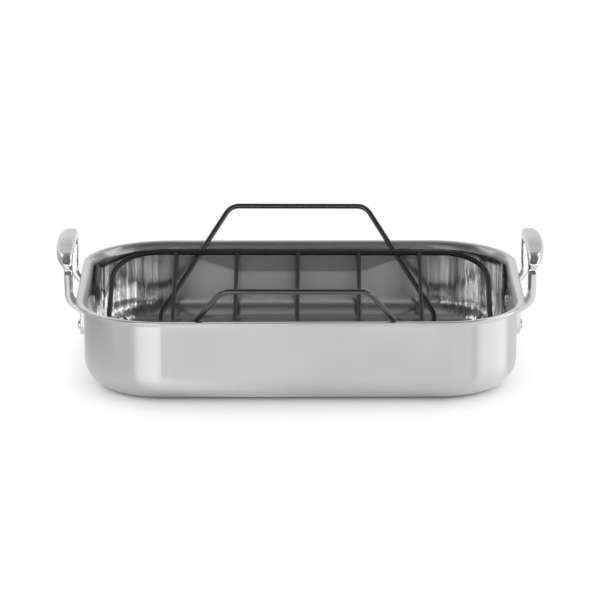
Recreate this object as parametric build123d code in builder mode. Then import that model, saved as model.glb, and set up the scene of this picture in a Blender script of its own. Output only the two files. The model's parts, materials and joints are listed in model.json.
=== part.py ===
from build123d import *
import os
from math import asin, atan2, ceil, cos, hypot, radians, sin, tan

# Roasting pan with a lift-out wire rack, in millimetres.
# X runs along the pan, Z is up, and the origin is the middle of the pan's underside.
# Angles are in degrees.

# Pan, pressed from one clad sheet
pan_length = 338.2
pan_width = 238.2
pan_height = 66.8
sheet = 2.3
wall_corner_radius = 62.0
base_edge_radius = 22.0
lip_overhang = 6.2
lip_bend_radius = 3.4
lip_lean = 86.0
lip_edge_rounding = 0.9

# Loop handles, cast, one at each end of the pan
foot_spacing = 68.0
foot_width = 16.0
foot_thickness = 4.2
foot_bottom_height = 31.8
foot_rounding = 1.0
leg_width = 11.5
leg_thickness = 6.4
root_thickness = 4.6
root_width = 10.0
root_rounding = 2.1
leg_stand_off = 9.4
leg_splay = 12.0
curl_height = 61.5
curl_drop = 10.4
curl_radius = 13.0
grip_top_height = 101.2
grip_depth = 7.8
grip_bulge = 7.3
grip_crown = 1.1
grip_bow = 10.0
grip_corner_radius = 7.5
leg_rounding = 3.0
grip_rounding = 2.2
shoulder_start_share = 0.35
bar_steps = 20
corner_steps = 3
leg_section_step = 4.0

# Rivets, two at each handle
rivet_diameter = 5.0
rivet_hole_clearance = 0.2
rivet_head_diameter = 8.0
rivet_head_height = 2.0
rivet_inner_head_diameter = 9.0
rivet_inner_head_height = 1.4
rivet_head_rounding = 1.5
rivet_inner_head_rounding = 1.0

# Rack, welded from coated wire, with its heights above the underside of its runners
frame_wire = 4.2
cross_wire = 3.5
weld_depth = 0.4
butt_weld_depth = 1.0
rack_length = 306.9
rack_width = 214.0
rack_corner_radius = 36.0
rack_frame_rise = 58.1
trough_rise = 23.4
trough_width = 36.0
trough_radius = 18.0
cross_wire_count = 5
cross_wire_spacing = 50.1
keel_spacing = 28.0
handle_wire_length = 111.6
handle_wire_rise = 91.0
handle_wire_span = 266.8
runner_spacing = 224.0
knee_rise = 13.3
weld_offset = -2.0
handle_wire_radius = 12.0
heel_bend_share = 0.47
knee_bend_share = 0.25

# Where the loose rack lies in the pan
rack_floor_gap = 0.3
rack_shift = -0.7
rack_turn = -0.7

# Places that follow from the sizes above
wall_x = pan_length / 2
rivet_height = foot_bottom_height + foot_width / 2
foot_y = foot_spacing / 2
cross_rise = trough_rise + (cross_wire - frame_wire) / 2
keel_rise = cross_rise - cross_wire + weld_depth
rack_plane = Plane(Location((rack_shift, 0, sheet + rack_floor_gap), (0, 0, rack_turn)))
sides = (1, -1)


def export(piece, name):
    """Label a finished piece and write it to its own file."""
    piece.part.label = name
    export_step(piece.part, f"parts/{name}.step")


def make_pan_body():
    """Tray with a rounded base edge and a lip that flares outwards."""
    lean = (sin(radians(lip_lean)), cos(radians(lip_lean)))
    bend_reach = lip_bend_radius * (1 - lean[1])
    straight = (lip_overhang - bend_reach) / lean[0]
    lip_root = pan_height - (lip_bend_radius + sheet) * lean[0] - straight * lean[1]
    corners = [(wall_x * i, pan_width / 2 * j) for i, j in ((1, 1), (-1, 1), (-1, -1), (1, -1))]
    with BuildPart() as pan:
        with BuildLine() as plan:
            FilletPolyline((wall_x, 0), *corners, (wall_x, 0), radius=(0, *[wall_corner_radius] * 4))
        with BuildSketch(Plane.XZ) as section:
            with BuildLine():
                outer_base = JernArc((wall_x - base_edge_radius, 0), (1, 0), base_edge_radius, 90)
                outer_wall = Line(outer_base @ 1, (wall_x, lip_root))
                outer_bend = JernArc(outer_wall @ 1, (0, 1), lip_bend_radius, -lip_lean)
                outer_lip = PolarLine(outer_bend @ 1, straight, direction=lean)
                edge = PolarLine(outer_lip @ 1, sheet, direction=(-lean[1], lean[0]))
                PolarLine(edge @ 1, -straight, direction=lean)
                inner_bend = JernArc((wall_x - sheet, lip_root), (0, 1), lip_bend_radius + sheet, -lip_lean)
                inner_wall = Line(inner_bend @ 0, (wall_x - sheet, base_edge_radius))
                inner_base = JernArc(inner_wall @ 1, (0, -1), base_edge_radius - sheet, -90)
                Line(inner_base @ 1, outer_base @ 0)
            make_face()
            fillet(section.vertices().sort_by(Axis.X)[-1], lip_edge_rounding)
            fillet(section.vertices().sort_by(Axis.Y)[-1], lip_edge_rounding)
        sweep(path=plan.line)
        with BuildSketch():
            RectangleRounded(
                pan_length - 2 * base_edge_radius,
                pan_width - 2 * base_edge_radius,
                wall_corner_radius - base_edge_radius,
            )
        extrude(amount=sheet)
        for side in sides:
            with BuildSketch(Plane.YZ.offset(side * wall_x)):
                with Locations((foot_y, rivet_height), (-foot_y, rivet_height)):
                    Circle((rivet_diameter + rivet_hole_clearance) / 2)
            extrude(amount=2 * sheet, both=True, mode=Mode.SUBTRACT)
    return pan


def make_handle():
    """Loop handle at the +X end: a leaf-shaped grip on two legs that curl under the lip to riveted feet."""
    splay = tan(radians(leg_splay))
    grip_z = grip_top_height - grip_depth / 2
    bow, half_bow = tan(radians(grip_bow)), tan(radians(grip_bow / 2))
    corner_turn = 90 + leg_splay - grip_bow
    corner_reach = grip_corner_radius * tan(radians(corner_turn / 2))
    corner_y, corner_drop = corner_reach * cos(radians(grip_bow)), corner_reach * sin(radians(grip_bow))
    bar_half = foot_y - corner_y + (grip_z - corner_drop - rivet_height) * splay
    bar_half /= 1 + splay * half_bow
    bar_z = grip_z - bar_half * half_bow
    leg_x = wall_x + leg_stand_off + leg_thickness / 2
    with BuildLine(Plane.YZ.offset(leg_x)):
        bar = ThreePointArc((-bar_half, bar_z), (0, grip_z), (bar_half, bar_z))
        near_corner = JernArc(bar @ 0, (-1, -bow), grip_corner_radius, corner_turn)
        far_corner = JernArc(bar @ 1, (1, -bow), grip_corner_radius, -corner_turn)
    loop_half = bar.length / 2 + far_corner.length
    root_height = curl_height - curl_drop
    root_y = foot_y + (root_height - rivet_height) * splay
    curl_y = foot_y + (curl_height - rivet_height) * splay
    stations = [(near_corner, 1 - k / corner_steps, -1) for k in range(corner_steps)]
    stations += [(bar, k / bar_steps, 1) for k in range(bar_steps + 1)]
    stations += [(far_corner, (k + 1) / corner_steps, 1) for k in range(corner_steps)]
    with BuildPart() as handle:
        for side in sides:
            with BuildSketch(Plane.YZ.offset(wall_x)):
                with Locations((side * foot_y, rivet_height)):
                    Circle(foot_width / 2)
                with Locations((side * root_y, root_height)):
                    Rectangle(root_width, root_thickness)
                make_hull()
            extrude(amount=foot_thickness)
        foot_face = wall_x + foot_thickness
        fillet(handle.edges().filter_by_position(Axis.X, foot_face, foot_face), foot_rounding)
        for edge, place, way in stations:
            if edge is bar:
                run = abs(place - 1 / 2) * bar.length / loop_half
            else:
                run = 1 - (1 - place) * edge.length / loop_half
            shoulder = max(0, (run - shoulder_start_share) / (1 - shoulder_start_share))
            depth = grip_depth + (leg_width - grip_depth) * shoulder**2 * (3 - 2 * shoulder)
            leaf = (1 - run**4) ** 1.5
            width = leg_thickness + grip_bulge * leaf
            middle = edge @ place + Vector((width - leg_thickness) / 2, 0, 0)
            with BuildSketch(Plane(origin=middle, x_dir=(1, 0, 0), z_dir=way * (edge % place))):
                if leaf:
                    half, rim = width / 2, grip_crown * leaf - depth / 2
                    with BuildLine():
                        ThreePointArc((-half, rim), (0, -depth / 2), (half, rim))
                        Polyline((half, rim), (half, depth / 2), (-half, depth / 2), (-half, rim))
                    section = make_face()
                    fillet(section.vertices(), leg_rounding + (grip_rounding - leg_rounding) * leaf)
                else:
                    RectangleRounded(width, depth, leg_rounding)
        loft()
        for side in sides:
            top = far_corner @ 1 if side > 0 else near_corner @ 1
            curl = Vector(leg_x, side * curl_y, curl_height)
            down = curl - top
            inward = Vector(wall_x, side * root_y, root_height) - curl
            across = down.cross(inward)
            turn = down.get_angle(inward)
            bend_reach = curl_radius * tan(radians(turn / 2))
            tail_length = inward.length - bend_reach + root_thickness
            with BuildLine(Plane(origin=curl, x_dir=down, z_dir=across)):
                shank = Line((-down.length, 0), (-bend_reach, 0))
                bend = JernArc(shank @ 1, (1, 0), curl_radius, turn)
                tail = PolarLine(bend @ 1, tail_length, angle=turn)
            leg = []
            for edge in (shank, bend, tail):
                steps = ceil(edge.length / leg_section_step)
                leg += [(edge, k / steps) for k in range(steps)]
            leg.append((tail, 1))
            for k, (edge, place) in enumerate(leg):
                taper = (k / (len(leg) - 1)) ** 2
                along = edge % place
                with BuildSketch(Plane(origin=edge @ place, x_dir=across.cross(along), z_dir=along)):
                    RectangleRounded(
                        leg_thickness + (root_thickness - leg_thickness) * taper,
                        leg_width + (root_width - leg_width) * taper,
                        leg_rounding + (root_rounding - leg_rounding) * taper,
                    )
            loft()
        split(bisect_by=Plane.YZ.offset(wall_x), keep=Keep.TOP)
        with BuildSketch(Plane.YZ.offset(wall_x)):
            with Locations((foot_y, rivet_height), (-foot_y, rivet_height)):
                Circle((rivet_diameter + rivet_hole_clearance) / 2)
        extrude(amount=foot_thickness, mode=Mode.SUBTRACT)
    return handle


def make_rivet(side, y):
    """Rivet through a handle's foot and the wall, with a domed outer head and a flatter inner one."""
    inside = Plane.YZ.offset(wall_x - sheet)
    outside = Plane.YZ.offset(wall_x + foot_thickness)
    with BuildPart() as rivet:
        for base, diameter, height, rounding in (
            (inside, rivet_inner_head_diameter, -rivet_inner_head_height, rivet_inner_head_rounding),
            (outside, rivet_head_diameter, rivet_head_height, rivet_head_rounding),
        ):
            with BuildSketch(base):
                with Locations((y, rivet_height)):
                    Circle(diameter / 2)
            extrude(amount=height)
            top = rivet.edges().filter_by(GeomType.CIRCLE).sort_by(Axis.X)
            fillet(top[-1] if height > 0 else top[0], rounding)
        with BuildSketch(inside):
            with Locations((y, rivet_height)):
                Circle(rivet_diameter / 2)
        extrude(amount=sheet + foot_thickness)
    if side > 0:
        return rivet
    with BuildPart() as mirrored:
        mirror(rivet.part, about=Plane.YZ)
    return mirrored


def make_wire(points, radii, diameter, close=False):
    """Round wire along straight runs joined by bends, placed in the rack's own plane."""
    with BuildPart() as wire:
        with BuildLine(rack_plane) as route:
            if radii:
                FilletPolyline(*points, radius=radii, close=close)
            else:
                Line(*points)
        with BuildSketch(Plane(origin=route.line @ 0, z_dir=route.line % 0)):
            Circle(diameter / 2)
        sweep(path=route.line)
    return wire


def make_frame_wire():
    """Outer loop of the rack: level long sides, and short sides that dip into the trough."""
    half_length, half_width, half_trough = rack_length / 2, rack_width / 2, trough_width / 2
    points = [(0, half_width, rack_frame_rise)]
    radii = [0]
    for side in sides:
        points += [
            (side * half_length, side * half_width, rack_frame_rise),
            (side * half_length, side * half_trough, trough_rise),
            (side * half_length, -side * half_trough, trough_rise),
            (side * half_length, -side * half_width, rack_frame_rise),
        ]
        radii += [rack_corner_radius, trough_radius, trough_radius, rack_corner_radius]
    return make_wire(points, radii, frame_wire, close=True)


def make_cross_wire(x):
    """Cross wire of the trough, butt-welded between the frame's long sides."""
    slope = atan2(rack_frame_rise - trough_rise, (rack_width - trough_width) / 2)
    set_back = frame_wire / 2 - butt_weld_depth
    end_y = rack_width / 2 - set_back * cos(slope)
    end_rise = rack_frame_rise - set_back * sin(slope)
    bend_y = trough_width / 2
    points = [(end_y, end_rise), (bend_y, cross_rise), (-bend_y, cross_rise), (-end_y, end_rise)]
    points = [(x, y, rise) for y, rise in points]
    return make_wire(points, (trough_radius, trough_radius), cross_wire)


def make_handle_wire(side):
    """One long wire: half of both runners, two legs that lean out past the frame, and the handle bar.

    The bends at each leg's heel and knee take their shares of the short run between the two.
    The wire is welded off the frame's middle, as the cross wires are.
    """
    reach = handle_wire_span / 2
    over, up = reach - rack_width / 2, handle_wire_rise - rack_frame_rise
    lean = atan2(over, up) - asin((frame_wire - weld_depth) / hypot(over, up))
    runner_rise = frame_wire / 2
    heel_y = reach - (handle_wire_rise - runner_rise) * tan(lean)
    knee_y = reach - (handle_wire_rise - knee_rise) * tan(lean)
    runner_x, bar_x = runner_spacing / 2, handle_wire_length / 2
    half = [
        (runner_x, 0, runner_rise),
        (runner_x, side * heel_y, runner_rise),
        (runner_x, side * knee_y, knee_rise),
        (bar_x, side * reach, handle_wire_rise),
    ]
    runner, run, leg = (Vector(end) - Vector(start) for start, end in zip(half, half[1:]))
    heel_radius = heel_bend_share * run.length / tan(radians(runner.get_angle(run) / 2))
    knee_radius = knee_bend_share * run.length / tan(radians(run.get_angle(leg) / 2))
    radii = [heel_radius, knee_radius, handle_wire_radius]
    points = [(weld_offset - x, y, rise) for x, y, rise in half]
    points += [(weld_offset + x, y, rise) for x, y, rise in half[::-1]]
    return make_wire(points, radii + radii[::-1], frame_wire)


os.makedirs("parts", exist_ok=True)

pan_body = make_pan_body()
export(pan_body, "pan_body")

handle_right = make_handle()
export(handle_right, "handle_right")
with BuildPart() as handle_left:
    mirror(handle_right.part, about=Plane.YZ)
export(handle_left, "handle_left")

for end, side in (("right", 1), ("left", -1)):
    for row, y in (("front", -foot_y), ("back", foot_y)):
        export(make_rivet(side, y), f"rivet_{end}_{row}")

export(make_frame_wire(), "rack_frame_wire")

for index in range(cross_wire_count):
    x = weld_offset + (index - (cross_wire_count - 1) / 2) * cross_wire_spacing
    export(make_cross_wire(x), f"rack_cross_wire_{index + 1}")

for row, side in (("front", -1), ("back", 1)):
    ends = [(x, side * keel_spacing / 2, keel_rise) for x in (-rack_length / 2, rack_length / 2)]
    export(make_wire(ends, (), cross_wire), f"rack_keel_wire_{row}")
    export(make_handle_wire(side), f"rack_handle_wire_{row}")
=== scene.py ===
import json
from math import cos, pi, radians, sin
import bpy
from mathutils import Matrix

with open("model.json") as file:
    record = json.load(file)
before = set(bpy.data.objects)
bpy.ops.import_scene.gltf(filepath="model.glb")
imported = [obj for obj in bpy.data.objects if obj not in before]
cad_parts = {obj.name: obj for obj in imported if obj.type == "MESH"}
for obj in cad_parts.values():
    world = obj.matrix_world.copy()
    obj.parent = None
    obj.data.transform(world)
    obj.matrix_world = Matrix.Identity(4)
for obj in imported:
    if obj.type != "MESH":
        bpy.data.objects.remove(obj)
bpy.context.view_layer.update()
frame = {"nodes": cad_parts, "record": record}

from types import SimpleNamespace

import bpy
from mathutils import Matrix, Vector

# Half the pan's length and width, and its height, read from the frame, in metres
pan_corners = frame["nodes"]["pan_body"].bound_box
pan_end, pan_side, pan_top = (max(places) for places in zip(*pan_corners))

# The camera that fits the photograph, in metres and degrees
camera_distance = 2.915
camera_elevation = 16.5
camera_turn = 0.26
camera_clip = (0.1, 50.0)
focal_pixels = 3640.0
frame_pixels = 600.0
axis_pixel = (300.3, 360.15)
sensor_width_mm = 36.0

# Floor, in metres
floor_reach = 6.0
floor_drop = 0.0002
floor_paint = (0.8, 0.8, 0.8, 1.0)

# Shade on the floor, by distance in metres from the flat of the pan's base, which lies in from the rim
base_inset = 0.0282
base_corner_radius = 0.040
glow_reach, glow_levels = (0.003, 0.030), (0.0, 0.26)
fade_reach = (0.025, 0.085)
shade_side_shrink = 1.0

# Dim stretch of the floor left of the pan, as metal sees it, in metres
dim_floor_x, dim_floor_y = (-0.20, -0.30), (-0.18, -0.04)
dim_floor_levels = (0.0, 0.5)

# Brightness of the studio as metal sees it, by the sine of the height above the horizon
back_sky = [
    (0.0, 1.0),
    (0.31, 0.98),
    (0.36, 0.76),
    (0.60, 0.46),
    (0.78, 0.32),
    (0.87, 0.24),
    (0.94, 0.20),
    (1.0, 0.13),
]
front_sky = [
    (0.0, 1.0),
    (0.16, 0.9),
    (0.24, 0.42),
    (0.34, 0.40),
    (0.42, 0.10),
    (0.60, 0.07),
    (0.74, 0.09),
    (0.86, 0.16),
    (0.95, 0.25),
    (1.0, 0.20),
]

# Where the front sky gives way to the back one, along Y, and how the studio dims along X
sky_seam = (-0.15, 0.20)
side_span, side_levels = (-0.25, 0.25), (1.12, 0.78)

# Direction of the studio's dark side, left and a little behind the pan, and how it darkens towards there
dark_side = (-0.94, 0.34, 0.0)
dusk_span, dusk_levels = (0.10, 0.50), (1.0, 0.85)
night_span, night_levels = (0.50, 1.0), (1.0, 0.45)

# White cards low round the studio, by how far to the side they stand; the pan's corners mirror them
card_height, card_half, card_edge = 0.285, 0.045, 0.03
card_gain = 2.2
cards = [
    (0.0, 0.0),
    (0.30, 0.0),
    (0.34, 0.5),
    (0.52, 0.4),
    (0.54, 0.0),
    (0.62, 0.1),
    (0.64, 1.0),
    (0.68, 1.0),
    (0.70, 0.1),
    (0.80, 0.5),
    (0.88, 0.3),
    (0.90, 0.9),
    (0.93, 0.9),
    (0.94, 0.0),
    (0.955, 0.0),
    (0.965, 1.0),
    (0.985, 0.2),
    (1.0, 0.6),
]

# Glow of the studio on matt surfaces
matt_glow = 0.62

# Lamps: place and size in metres, brightness, and whether the metal mirrors them
lamp_target = (0.0, 0.0, 0.03)
lamps = {
    "overhead": ((0.1, 0.1, 1.9), (1.0, 1.0), 2.6, False),
    "front_left": ((-0.65, -1.477, 0.18), (0.90, 0.32), 4.6, True),
    "low_front": ((0.90, -3.4, 0.36), (4.9, 0.70), 2.1, True),
    "right": ((1.6, -0.15, 0.45), (1.7, 0.8), 1.8, True),
    "high_left": ((-0.9, 0.8, 1.2), (0.7, 0.7), 2.0, True),
    "high_right": ((0.9, 0.8, 1.2), (0.7, 0.7), 2.0, True),
}

# Where the pan's finish and its painted reflections change, in metres in from its ends
drawn_inset = (0.080, 0.040)
# Stripes of painted reflection in the inner corners, fading out by this far in from the ends
streak_reflection_inset = (0.070, 0.045)
pebbled_inset = (0.040, 0.025)
# Painted dark reflection on the long walls inside: how far in from the ends it fades out, and how far in its
# foot rises and by how much
dark_reflection_end_inset = (0.090, 0.070)
dark_reflection_curve_inset, dark_reflection_curve_rise = (0.130, 0.090), (0.0, 0.010)

# Where the pan's finish and its painted reflections change, in metres above its base
# Foot of the stripes of painted reflection in the inner corners
streak_reflection_foot = (0.006, 0.016)
pebbled_top = (0.030, 0.052)
# Foot of the painted dark reflection on the long walls
dark_reflection_foot = (0.0405, 0.0435)

# Where the pan's finish, its painted dark reflection and its painted bend shade change, in metres below its
# rim
drawn_top = (0.0107, 0.0057)
# Top of the painted dark reflection on the long walls
dark_reflection_top = (0.0067, 0.0027)
polished_top = (0.0087, 0.0047)
# Foot of the lip's inner bend, which is both duller and painted with shade
bend_foot = (0.0087, 0.0067)

# How far up the surface faces where the lip's inner bend begins and ends
bend_start, bend_end = (0.05, 0.20), (0.80, 0.95)

# Features of each pattern, as counts per metre along X, Y and Z
brush_counts = (9, 9, 1500)
cloud_counts = (14, 14, 22)
ridge_counts = (230, 230, 7)
pebble_counts = (150, 150, 90)
swell_counts = (16, 16, 10)
# Stripes of painted reflection in the inner corners
streak_reflection_counts = (210, 210, 4)
cast_grain_counts = (900, 900, 900)
cast_swell_counts = (70, 45, 60)
cast_cloud_counts = (40, 30, 40)
rivet_grain_counts = (200, 1400, 1400)
rivet_dent_counts = (240, 240, 240)
peel_counts = (1100, 1100, 1100)
wear_counts = (60, 60, 60)

# Depth of each relief, in metres
brush_depth = 0.00001
drawn_depth = 0.0009
cast_swell_depth, cast_grain_depth = 0.0004, 0.000012
rivet_dent_depth = 0.00015
peel_depth = 0.00003

# Levels of a mask that sets in or dies away, and plain white
rising, fading = (0.0, 1.0), (1.0, 0.0)
white = (1.0, 1.0, 1.0, 1.0)


def add(tree, kind, sockets=(), **settings):
    """New shader node; a socket takes a value or another node's output."""
    made = tree.nodes.new("ShaderNode" + kind)
    for name, value in settings.items():
        setattr(made, name, value)
    for name, value in dict(sockets).items():
        if isinstance(value, bpy.types.NodeSocket):
            tree.links.new(value, made.inputs[name])
        else:
            made.inputs[name].default_value = value
    return made


def calc(tree, operation, *values):
    """Output of a maths node."""
    return add(tree, "Math", enumerate(values), operation=operation).outputs[0]


def vector_calc(tree, operation, *values):
    """Outputs of a vector maths node."""
    return add(tree, "VectorMath", enumerate(values), operation=operation).outputs


def product(tree, first, *others):
    """All the values multiplied."""
    for value in others:
        first = calc(tree, "MULTIPLY", first, value)
    return first


def vary(tree, base, *changes):
    """The base with each change added, given as a pattern and the amount that it adds where it is 1."""
    for pattern, amount in changes:
        base = calc(tree, "MULTIPLY_ADD", pattern, amount, base)
    return base


def remap(tree, value, span, levels=rising, smooth=False):
    """The value's span moved to the levels, clamped at both ends."""
    kind = "SMOOTHSTEP" if smooth else "LINEAR"
    low, high = span
    to_low, to_high = levels
    sockets = {"Value": value, "From Min": low, "From Max": high, "To Min": to_low, "To Max": to_high}
    return add(tree, "MapRange", sockets, interpolation_type=kind).outputs[0]


def ramp(tree, value, stops):
    """Grey level that follows the stops, pairs of place and level; a new ramp has its ends already."""
    made = add(tree, "ValToRGB", {"Fac": value})
    elements = made.color_ramp.elements
    for place, _ in stops[1:-1]:
        elements.new(place)
    for element, (_, level) in zip(elements, stops):
        element.color = (level, level, level, 1)
    return made.outputs["Color"]


def noise(tree, place, counts, detail=2.0, rough=0.5):
    """Noise from 0 to 1 whose features have the given counts per metre along X, Y and Z."""
    scaled = vector_calc(tree, "MULTIPLY", place, counts)[0]
    sockets = {"Vector": scaled, "Scale": 1.0, "Detail": detail, "Roughness": rough}
    return add(tree, "TexNoise", sockets).outputs["Fac"]


def bump(tree, height, distance, normal=None):
    """Surface normal disturbed by a height from 0 to 1 over a distance in metres."""
    sockets = {"Height": height, "Distance": distance, "Strength": 1.0}
    if normal is not None:
        sockets["Normal"] = normal
    return add(tree, "Bump", sockets).outputs[0]


def grey(tree, tone, blue_share=None):
    """Colour of the given tone, cooler where a blue share above 1 is given."""
    blue = tone if blue_share is None else calc(tree, "MULTIPLY", tone, blue_share)
    return add(tree, "CombineColor", {0: tone, 1: tone, 2: blue}).outputs[0]


def new_material(name):
    """Empty node material with its tree, ready for a shader."""
    made = bpy.data.materials.new(name)
    made.use_nodes = True
    made.node_tree.nodes.clear()
    return made, made.node_tree


def show(tree, shader, kind="OutputMaterial"):
    """Send the shader to the tree's output."""
    out = add(tree, kind)
    tree.links.new(shader.outputs[0], out.inputs["Surface"])


def pan_patterns(tree):
    """Places, masks and patterns that the pan's finish, painted reflections and painted shade follow; its
    inside faces up more than outward.
    """
    smudge_span = (0.35, 0.75)
    place = add(tree, "TexCoord").outputs["Object"]
    normal = add(tree, "NewGeometry").outputs["Normal"]
    spot = add(tree, "SeparateXYZ", {0: place}).outputs
    below_rim = calc(tree, "SUBTRACT", pan_top, spot["Z"])

    outward = vector_calc(tree, "NORMALIZE", vector_calc(tree, "MULTIPLY", place, (1, 1, 0))[0])[0]
    facing = vector_calc(tree, "DOT_PRODUCT", normal, outward)["Value"]
    upward = add(tree, "SeparateXYZ", {0: normal}).outputs["Z"]
    inside = calc(tree, "GREATER_THAN", calc(tree, "SUBTRACT", upward, facing), 0.0)
    bend = product(
        tree,
        remap(tree, upward, bend_start),
        remap(tree, upward, bend_end, fading),
        remap(tree, below_rim, bend_foot, (0.0, inside)),
    )
    clouds = noise(tree, place, cloud_counts, detail=3)
    return SimpleNamespace(
        place=place,
        from_end=calc(tree, "SUBTRACT", pan_end, calc(tree, "ABSOLUTE", spot["X"])),
        height=spot["Z"],
        below_rim=below_rim,
        inside=inside,
        bend=bend,
        brushed=noise(tree, place, brush_counts, detail=4, rough=0.65),
        smudge=remap(tree, clouds, smudge_span, smooth=True),
    )


def pan_normal(tree, at):
    """Brush lines outside; inside, up to the lip, ridges and pebbles in the corners and a slow swell."""
    ridge_levels, pebble_levels, swell_level = (0.04, 0.38), (0.9, 0.0), 0.2
    brush_height = calc(tree, "MULTIPLY", at.brushed, calc(tree, "SUBTRACT", 1.0, at.inside))
    brushed_normal = bump(tree, brush_height, brush_depth)

    ridges = noise(tree, at.place, ridge_counts, detail=2.5, rough=0.55)
    ridges = calc(tree, "MULTIPLY", ridges, remap(tree, at.from_end, drawn_inset, ridge_levels, smooth=True))
    pebbles = noise(tree, at.place, pebble_counts, detail=1)
    pebble_level = remap(tree, at.height, pebbled_top, pebble_levels, smooth=True)
    pebble_level = calc(tree, "MULTIPLY", pebble_level, remap(tree, at.from_end, pebbled_inset))
    swell = noise(tree, at.place, swell_counts, detail=1)
    relief = vary(tree, ridges, (pebbles, pebble_level), (swell, swell_level))
    relief = product(tree, relief, at.inside, remap(tree, at.below_rim, drawn_top, fading))
    return bump(tree, relief, drawn_depth, normal=brushed_normal)


def pan_roughness(tree, at):
    """Satin outside, mirror inside, and duller in the lip's inner bend."""
    satin_rough, mirror_rough = 0.33, (0.13, 0.11)
    brushed_rough, smudge_rough, bend_rough = 0.07, 0.03, 0.22
    satin = vary(tree, satin_rough, (at.brushed, brushed_rough), (at.smudge, smudge_rough))
    mirror = remap(tree, at.from_end, drawn_inset, mirror_rough, smooth=True)
    mirror = vary(tree, mirror, (at.smudge, smudge_rough), (at.bend, bend_rough))
    return add(tree, "Mix", {"Factor": at.inside, 2: satin, 3: mirror}).outputs[0]


def pan_colour(tree, at):
    """Grey of the steel, brightest inside, with painted light: a dark painted reflection along the long
    walls inside, dark and light stripes of painted reflection in the corners, and painted shade in the lip's
    inner bend.
    """
    # The last tone here darkens the lip's inner bend as painted shade
    steel_tone, brushed_tone, smudge_tone, bend_shade_tone = 0.635, 0.03, -0.012, -0.40
    # The second pair here is how deeply the painted dark reflection darkens the long walls
    polished_tones, dark_reflection_tones = (0.15, 0.02), (0.0, 0.42)
    # Span, and dark and light tones, of the stripes of painted reflection
    streak_reflection_span, streak_reflection_tones = (0.40, 0.58), (-0.50, 0.16)
    blue_share = 1.004

    tone = vary(tree, steel_tone, (at.brushed, brushed_tone), (at.smudge, smudge_tone))
    polished = calc(tree, "MULTIPLY", at.inside, remap(tree, at.below_rim, polished_top, polished_tones))
    tone = calc(tree, "ADD", tone, polished)

    # Painted dark reflection on the long walls inside, with its foot rising towards the ends
    dark_reflection_rise = remap(tree, at.from_end, dark_reflection_curve_inset, dark_reflection_curve_rise, smooth=True)
    dark_reflection = product(
        tree,
        remap(tree, calc(tree, "SUBTRACT", at.height, dark_reflection_rise), dark_reflection_foot, dark_reflection_tones, smooth=True),
        remap(tree, at.below_rim, dark_reflection_top, fading),
        remap(tree, at.from_end, dark_reflection_end_inset, fading, smooth=True),
        at.inside,
    )
    # Dark and light stripes of painted reflection in the inner corners
    streak_reflections = noise(tree, at.place, streak_reflection_counts, detail=3, rough=0.6)
    streak_reflections = remap(tree, streak_reflections, streak_reflection_span, streak_reflection_tones)
    streak_reflection_mask = product(
        tree,
        at.inside,
        remap(tree, at.from_end, streak_reflection_inset, smooth=True),
        remap(tree, at.below_rim, drawn_top, fading),
        remap(tree, at.height, streak_reflection_foot),
    )
    tone = product(
        tree,
        tone,
        # Darkened by the painted dark reflection
        calc(tree, "SUBTRACT", 1.0, dark_reflection),
        # Stripes of painted reflection
        vary(tree, 1.0, (streak_reflections, streak_reflection_mask)),
        # Painted shade in the lip's inner bend
        vary(tree, 1.0, (at.bend, bend_shade_tone)),
    )
    return grey(tree, tone, blue_share)


def pan_material():
    """Clad steel: satin and brushed round the outside, mirror polished inside and on the lip."""
    made, tree = new_material("pan_steel")
    at = pan_patterns(tree)
    sockets = {
        "Base Color": pan_colour(tree, at),
        "Metallic": 1.0,
        "Roughness": pan_roughness(tree, at),
        "Anisotropic": 1.0,
        "Anisotropic Rotation": 0.25,
        "Tangent": add(tree, "Tangent", direction_type="RADIAL", axis="Z").outputs[0],
        "Normal": pan_normal(tree, at),
    }
    show(tree, add(tree, "BsdfPrincipled", sockets))
    return made


def cast_material():
    """Polished casting: smooth and bright, with faint grain and a soft unevenness."""
    cast_rough, smudge_rough = 0.26, 0.07
    cast_tone, grain_tone = 0.67, 0.04
    smudge_span = (0.4, 0.8)

    made, tree = new_material("handle_steel")
    place = add(tree, "TexCoord").outputs["Object"]
    grain = noise(tree, place, cast_grain_counts, detail=3)
    swell = noise(tree, place, cast_swell_counts, detail=1.5)
    smudge = remap(tree, noise(tree, place, cast_cloud_counts, detail=3), smudge_span)
    sockets = {
        "Base Color": grey(tree, vary(tree, cast_tone, (grain, grain_tone))),
        "Metallic": 1.0,
        "Roughness": vary(tree, cast_rough, (smudge, smudge_rough)),
        "Normal": bump(tree, grain, cast_grain_depth, normal=bump(tree, swell, cast_swell_depth)),
    }
    show(tree, add(tree, "BsdfPrincipled", sockets))
    return made


def rivet_material():
    """Pressed rivet head: polished, with a fine grain and shallow dents left by the set."""
    rivet_rough, grain_rough = 0.16, 0.12
    rivet_tone, dent_tone = 0.62, 0.05

    made, tree = new_material("rivet_steel")
    place = add(tree, "TexCoord").outputs["Object"]
    grain = noise(tree, place, rivet_grain_counts, detail=3)
    dents = noise(tree, place, rivet_dent_counts, detail=1)
    sockets = {
        "Base Color": grey(tree, vary(tree, rivet_tone, (dents, dent_tone))),
        "Metallic": 1.0,
        "Roughness": vary(tree, rivet_rough, (grain, grain_rough)),
        "Normal": bump(tree, dents, rivet_dent_depth),
    }
    show(tree, add(tree, "BsdfPrincipled", sockets))
    return made


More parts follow.
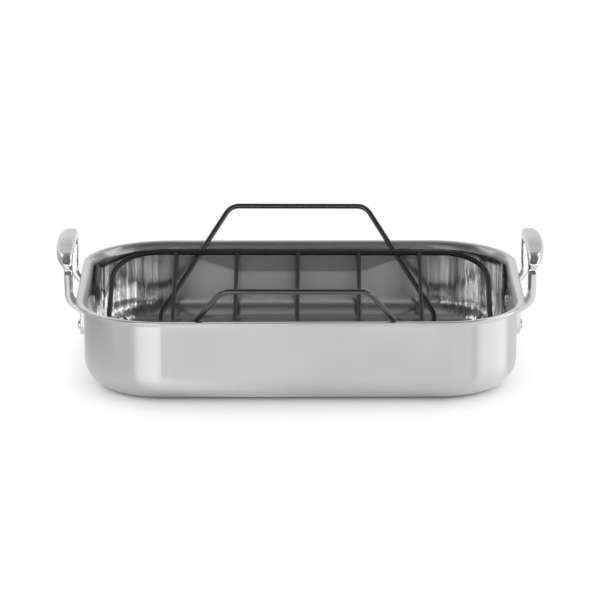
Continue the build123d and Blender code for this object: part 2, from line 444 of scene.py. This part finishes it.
def wire_material(name, gloss, dull):
    """Non-stick coating on wire: near black, with orange peel and a few paler rubbed spots."""
    peel_rough, rubbed_rough = 0.08, -0.06
    coat_tone, rubbed_tone, peel_tone = 0.009, 0.008, 0.005
    rubbed_span = (0.62, 0.78)

    made, tree = new_material(name)
    place = add(tree, "TexCoord").outputs["Object"]
    peel = noise(tree, place, peel_counts, detail=2)
    rubbed = remap(tree, noise(tree, place, wear_counts, detail=4, rough=0.6), rubbed_span, smooth=True)
    sockets = {
        "Base Color": grey(tree, vary(tree, coat_tone, (rubbed, rubbed_tone), (peel, peel_tone))),
        "Roughness": vary(tree, dull, (peel, peel_rough), (rubbed, rubbed_rough)),
        "Normal": bump(tree, peel, peel_depth),
        "Specular IOR Level": gloss,
    }
    show(tree, add(tree, "BsdfPrincipled", sockets))
    return made


def base_distance(tree, place):
    """Distance on the floor from the rounded flat of the pan's base, counted larger towards the sides."""
    core = [edge - base_inset - base_corner_radius for edge in (pan_end, pan_side)]
    beyond = vector_calc(tree, "ABSOLUTE", place)[0]
    beyond = vector_calc(tree, "SUBTRACT", beyond, (*core, 0))[0]
    beyond = vector_calc(tree, "MAXIMUM", beyond, (0, 0, 0))[0]
    heading = vector_calc(tree, "NORMALIZE", beyond)[0]
    sideways = add(tree, "SeparateXYZ", {0: heading}).outputs["X"]
    distance = calc(tree, "SUBTRACT", vector_calc(tree, "LENGTH", beyond)["Value"], base_corner_radius)
    return calc(tree, "MULTIPLY", distance, vary(tree, 1.0, (sideways, shade_side_shrink)))


def floor_material():
    """White sweep: keeps the object's soft shadow near it and is plain white further off."""
    made, tree = new_material("floor")
    place = add(tree, "TexCoord").outputs["Object"]
    paths = add(tree, "LightPath").outputs
    seen = calc(tree, "MAXIMUM", paths["Is Camera Ray"], paths["Is Glossy Ray"])
    seen = calc(tree, "MAXIMUM", seen, paths["Is Transmission Ray"])

    distance = base_distance(tree, place)
    lift = remap(tree, distance, glow_reach, glow_levels, smooth=True)
    matte = add(tree, "BsdfDiffuse", {"Color": floor_paint})
    glow = add(tree, "Emission", {"Color": white, "Strength": calc(tree, "MULTIPLY", seen, lift)})
    near = add(tree, "AddShader", {0: matte.outputs[0], 1: glow.outputs[0]})

    spot = add(tree, "SeparateXYZ", {0: place}).outputs
    dim = product(
        tree,
        remap(tree, spot["X"], dim_floor_x, dim_floor_levels),
        remap(tree, spot["Y"], dim_floor_y),
        paths["Is Glossy Ray"],
    )
    plain = add(tree, "Emission", {"Color": white, "Strength": calc(tree, "SUBTRACT", 1.0, dim)})
    far = calc(tree, "MULTIPLY", remap(tree, distance, fade_reach, smooth=True), seen)
    show(tree, add(tree, "MixShader", {0: far, 1: near.outputs[0], 2: plain.outputs[0]}))
    return made


def make_floor():
    """Square floor, just under the pan's base."""
    signs = ((-1, -1), (1, -1), (1, 1), (-1, 1))
    corners = [(floor_reach * i, floor_reach * j, -floor_drop) for i, j in signs]
    mesh = bpy.data.meshes.new("floor")
    mesh.from_pydata(corners, [], [(0, 1, 2, 3)])
    mesh.materials.append(floor_material())
    floor = bpy.data.objects.new("floor", mesh)
    bpy.context.collection.objects.link(floor)


def metal_sky(tree):
    """The studio as metal sees it, by direction: two skies, dimmed towards the sides, and the cards."""
    heading = add(tree, "TexCoord").outputs["Generated"]
    direction = add(tree, "SeparateXYZ", {0: heading}).outputs
    back = ramp(tree, direction["Z"], back_sky)
    front = ramp(tree, direction["Z"], front_sky)
    behind = remap(tree, direction["Y"], sky_seam, smooth=True)
    sky = add(tree, "Mix", {"Factor": behind, 6: front, 7: back}, data_type="RGBA").outputs[2]

    toward = vector_calc(tree, "DOT_PRODUCT", heading, dark_side)["Value"]
    level = product(
        tree,
        remap(tree, toward, dusk_span, dusk_levels, smooth=True),
        remap(tree, toward, night_span, night_levels),
        remap(tree, direction["X"], side_span, side_levels, smooth=True),
    )
    sky = add(tree, "VectorMath", {0: sky, "Scale": level}, operation="SCALE").outputs[0]

    off = calc(tree, "ABSOLUTE", calc(tree, "SUBTRACT", direction["Z"], card_height))
    card_level = remap(tree, off, (card_half, card_half + card_edge), (card_gain, 0.0))
    card = ramp(tree, calc(tree, "ABSOLUTE", direction["X"]), cards)
    return vector_calc(tree, "ADD", sky, calc(tree, "MULTIPLY", card, card_level))[0]


def make_world():
    """White to the camera; an even glow on matt surfaces; and for metal a studio with a dark side."""
    world = bpy.data.worlds.new("studio")
    bpy.context.scene.world = world
    world.use_nodes = True
    tree = world.node_tree
    tree.nodes.clear()
    paths = add(tree, "LightPath").outputs
    metal = add(tree, "Background", {"Color": metal_sky(tree), "Strength": 1.0})
    matt = add(tree, "Background", {"Color": white, "Strength": matt_glow})
    plain = add(tree, "Background", {"Color": white, "Strength": 1.0})
    lit = add(tree, "MixShader", {0: paths["Is Glossy Ray"], 1: matt.outputs[0], 2: metal.outputs[0]})
    shown = add(tree, "MixShader", {0: paths["Is Camera Ray"], 1: lit.outputs[0], 2: plain.outputs[0]})
    show(tree, shown, kind="OutputWorld")


def make_lamp(name, place, size, radiance, mirrored):
    """Soft box turned to the target; radiance is its brightness, and mirrored shows it in the metal."""
    width, height = size
    light = bpy.data.lights.new(name, "AREA")
    light.shape = "RECTANGLE"
    light.size, light.size_y = width, height
    light.energy = radiance * pi * width * height
    lamp = bpy.data.objects.new(name, light)
    lamp.location = place
    lamp.rotation_euler = (Vector(lamp_target) - Vector(place)).to_track_quat("-Z", "Y").to_euler()
    lamp.visible_camera = False
    lamp.visible_glossy = mirrored
    bpy.context.collection.objects.link(lamp)


def make_camera():
    """Camera aimed through the middle of the frame, where the photograph's own axis runs lower."""
    turn, tilt = radians(camera_turn), radians(camera_elevation)
    forward = Vector((sin(turn) * cos(tilt), cos(turn) * cos(tilt), -sin(tilt)))
    right = Vector((cos(turn), -sin(turn), 0))
    up = right.cross(forward)
    middle = frame_pixels / 2
    aim = forward * focal_pixels + right * (middle - axis_pixel[0]) + up * (axis_pixel[1] - middle)
    back = -aim.normalized()
    data = bpy.data.cameras.new("camera")
    data.sensor_width = sensor_width_mm
    data.lens = focal_pixels / frame_pixels * sensor_width_mm
    data.clip_start, data.clip_end = camera_clip
    camera = bpy.data.objects.new("camera", data)
    camera.location = -forward * camera_distance
    camera.rotation_mode = "QUATERNION"
    camera.rotation_quaternion = Matrix((right, back.cross(right), back)).transposed().to_quaternion()
    bpy.context.collection.objects.link(camera)
    bpy.context.scene.camera = camera


finishes = {
    "pan_steel": pan_material(),
    "handle_steel": cast_material(),
    "rivet_steel": rivet_material(),
    "coated_wire": wire_material("coated_wire", gloss=0.25, dull=0.34),
}

# The rack's handle wires are glossier than its other wires
handled_wire = wire_material("handled_wire", gloss=1.0, dull=0.18)
for part in frame["record"]["subparts"]:
    finish = finishes[part["material_slot"]]
    if part["node"].startswith("rack_handle_wire"):
        finish = handled_wire
    for holder in frame["nodes"][part["node"]].material_slots:
        holder.material = finish

make_floor()
make_world()
for name, (place, size, radiance, mirrored) in lamps.items():
    make_lamp(name, place, size, radiance, mirrored)
make_camera()
bpy.context.scene.view_settings.view_transform = "Standard"
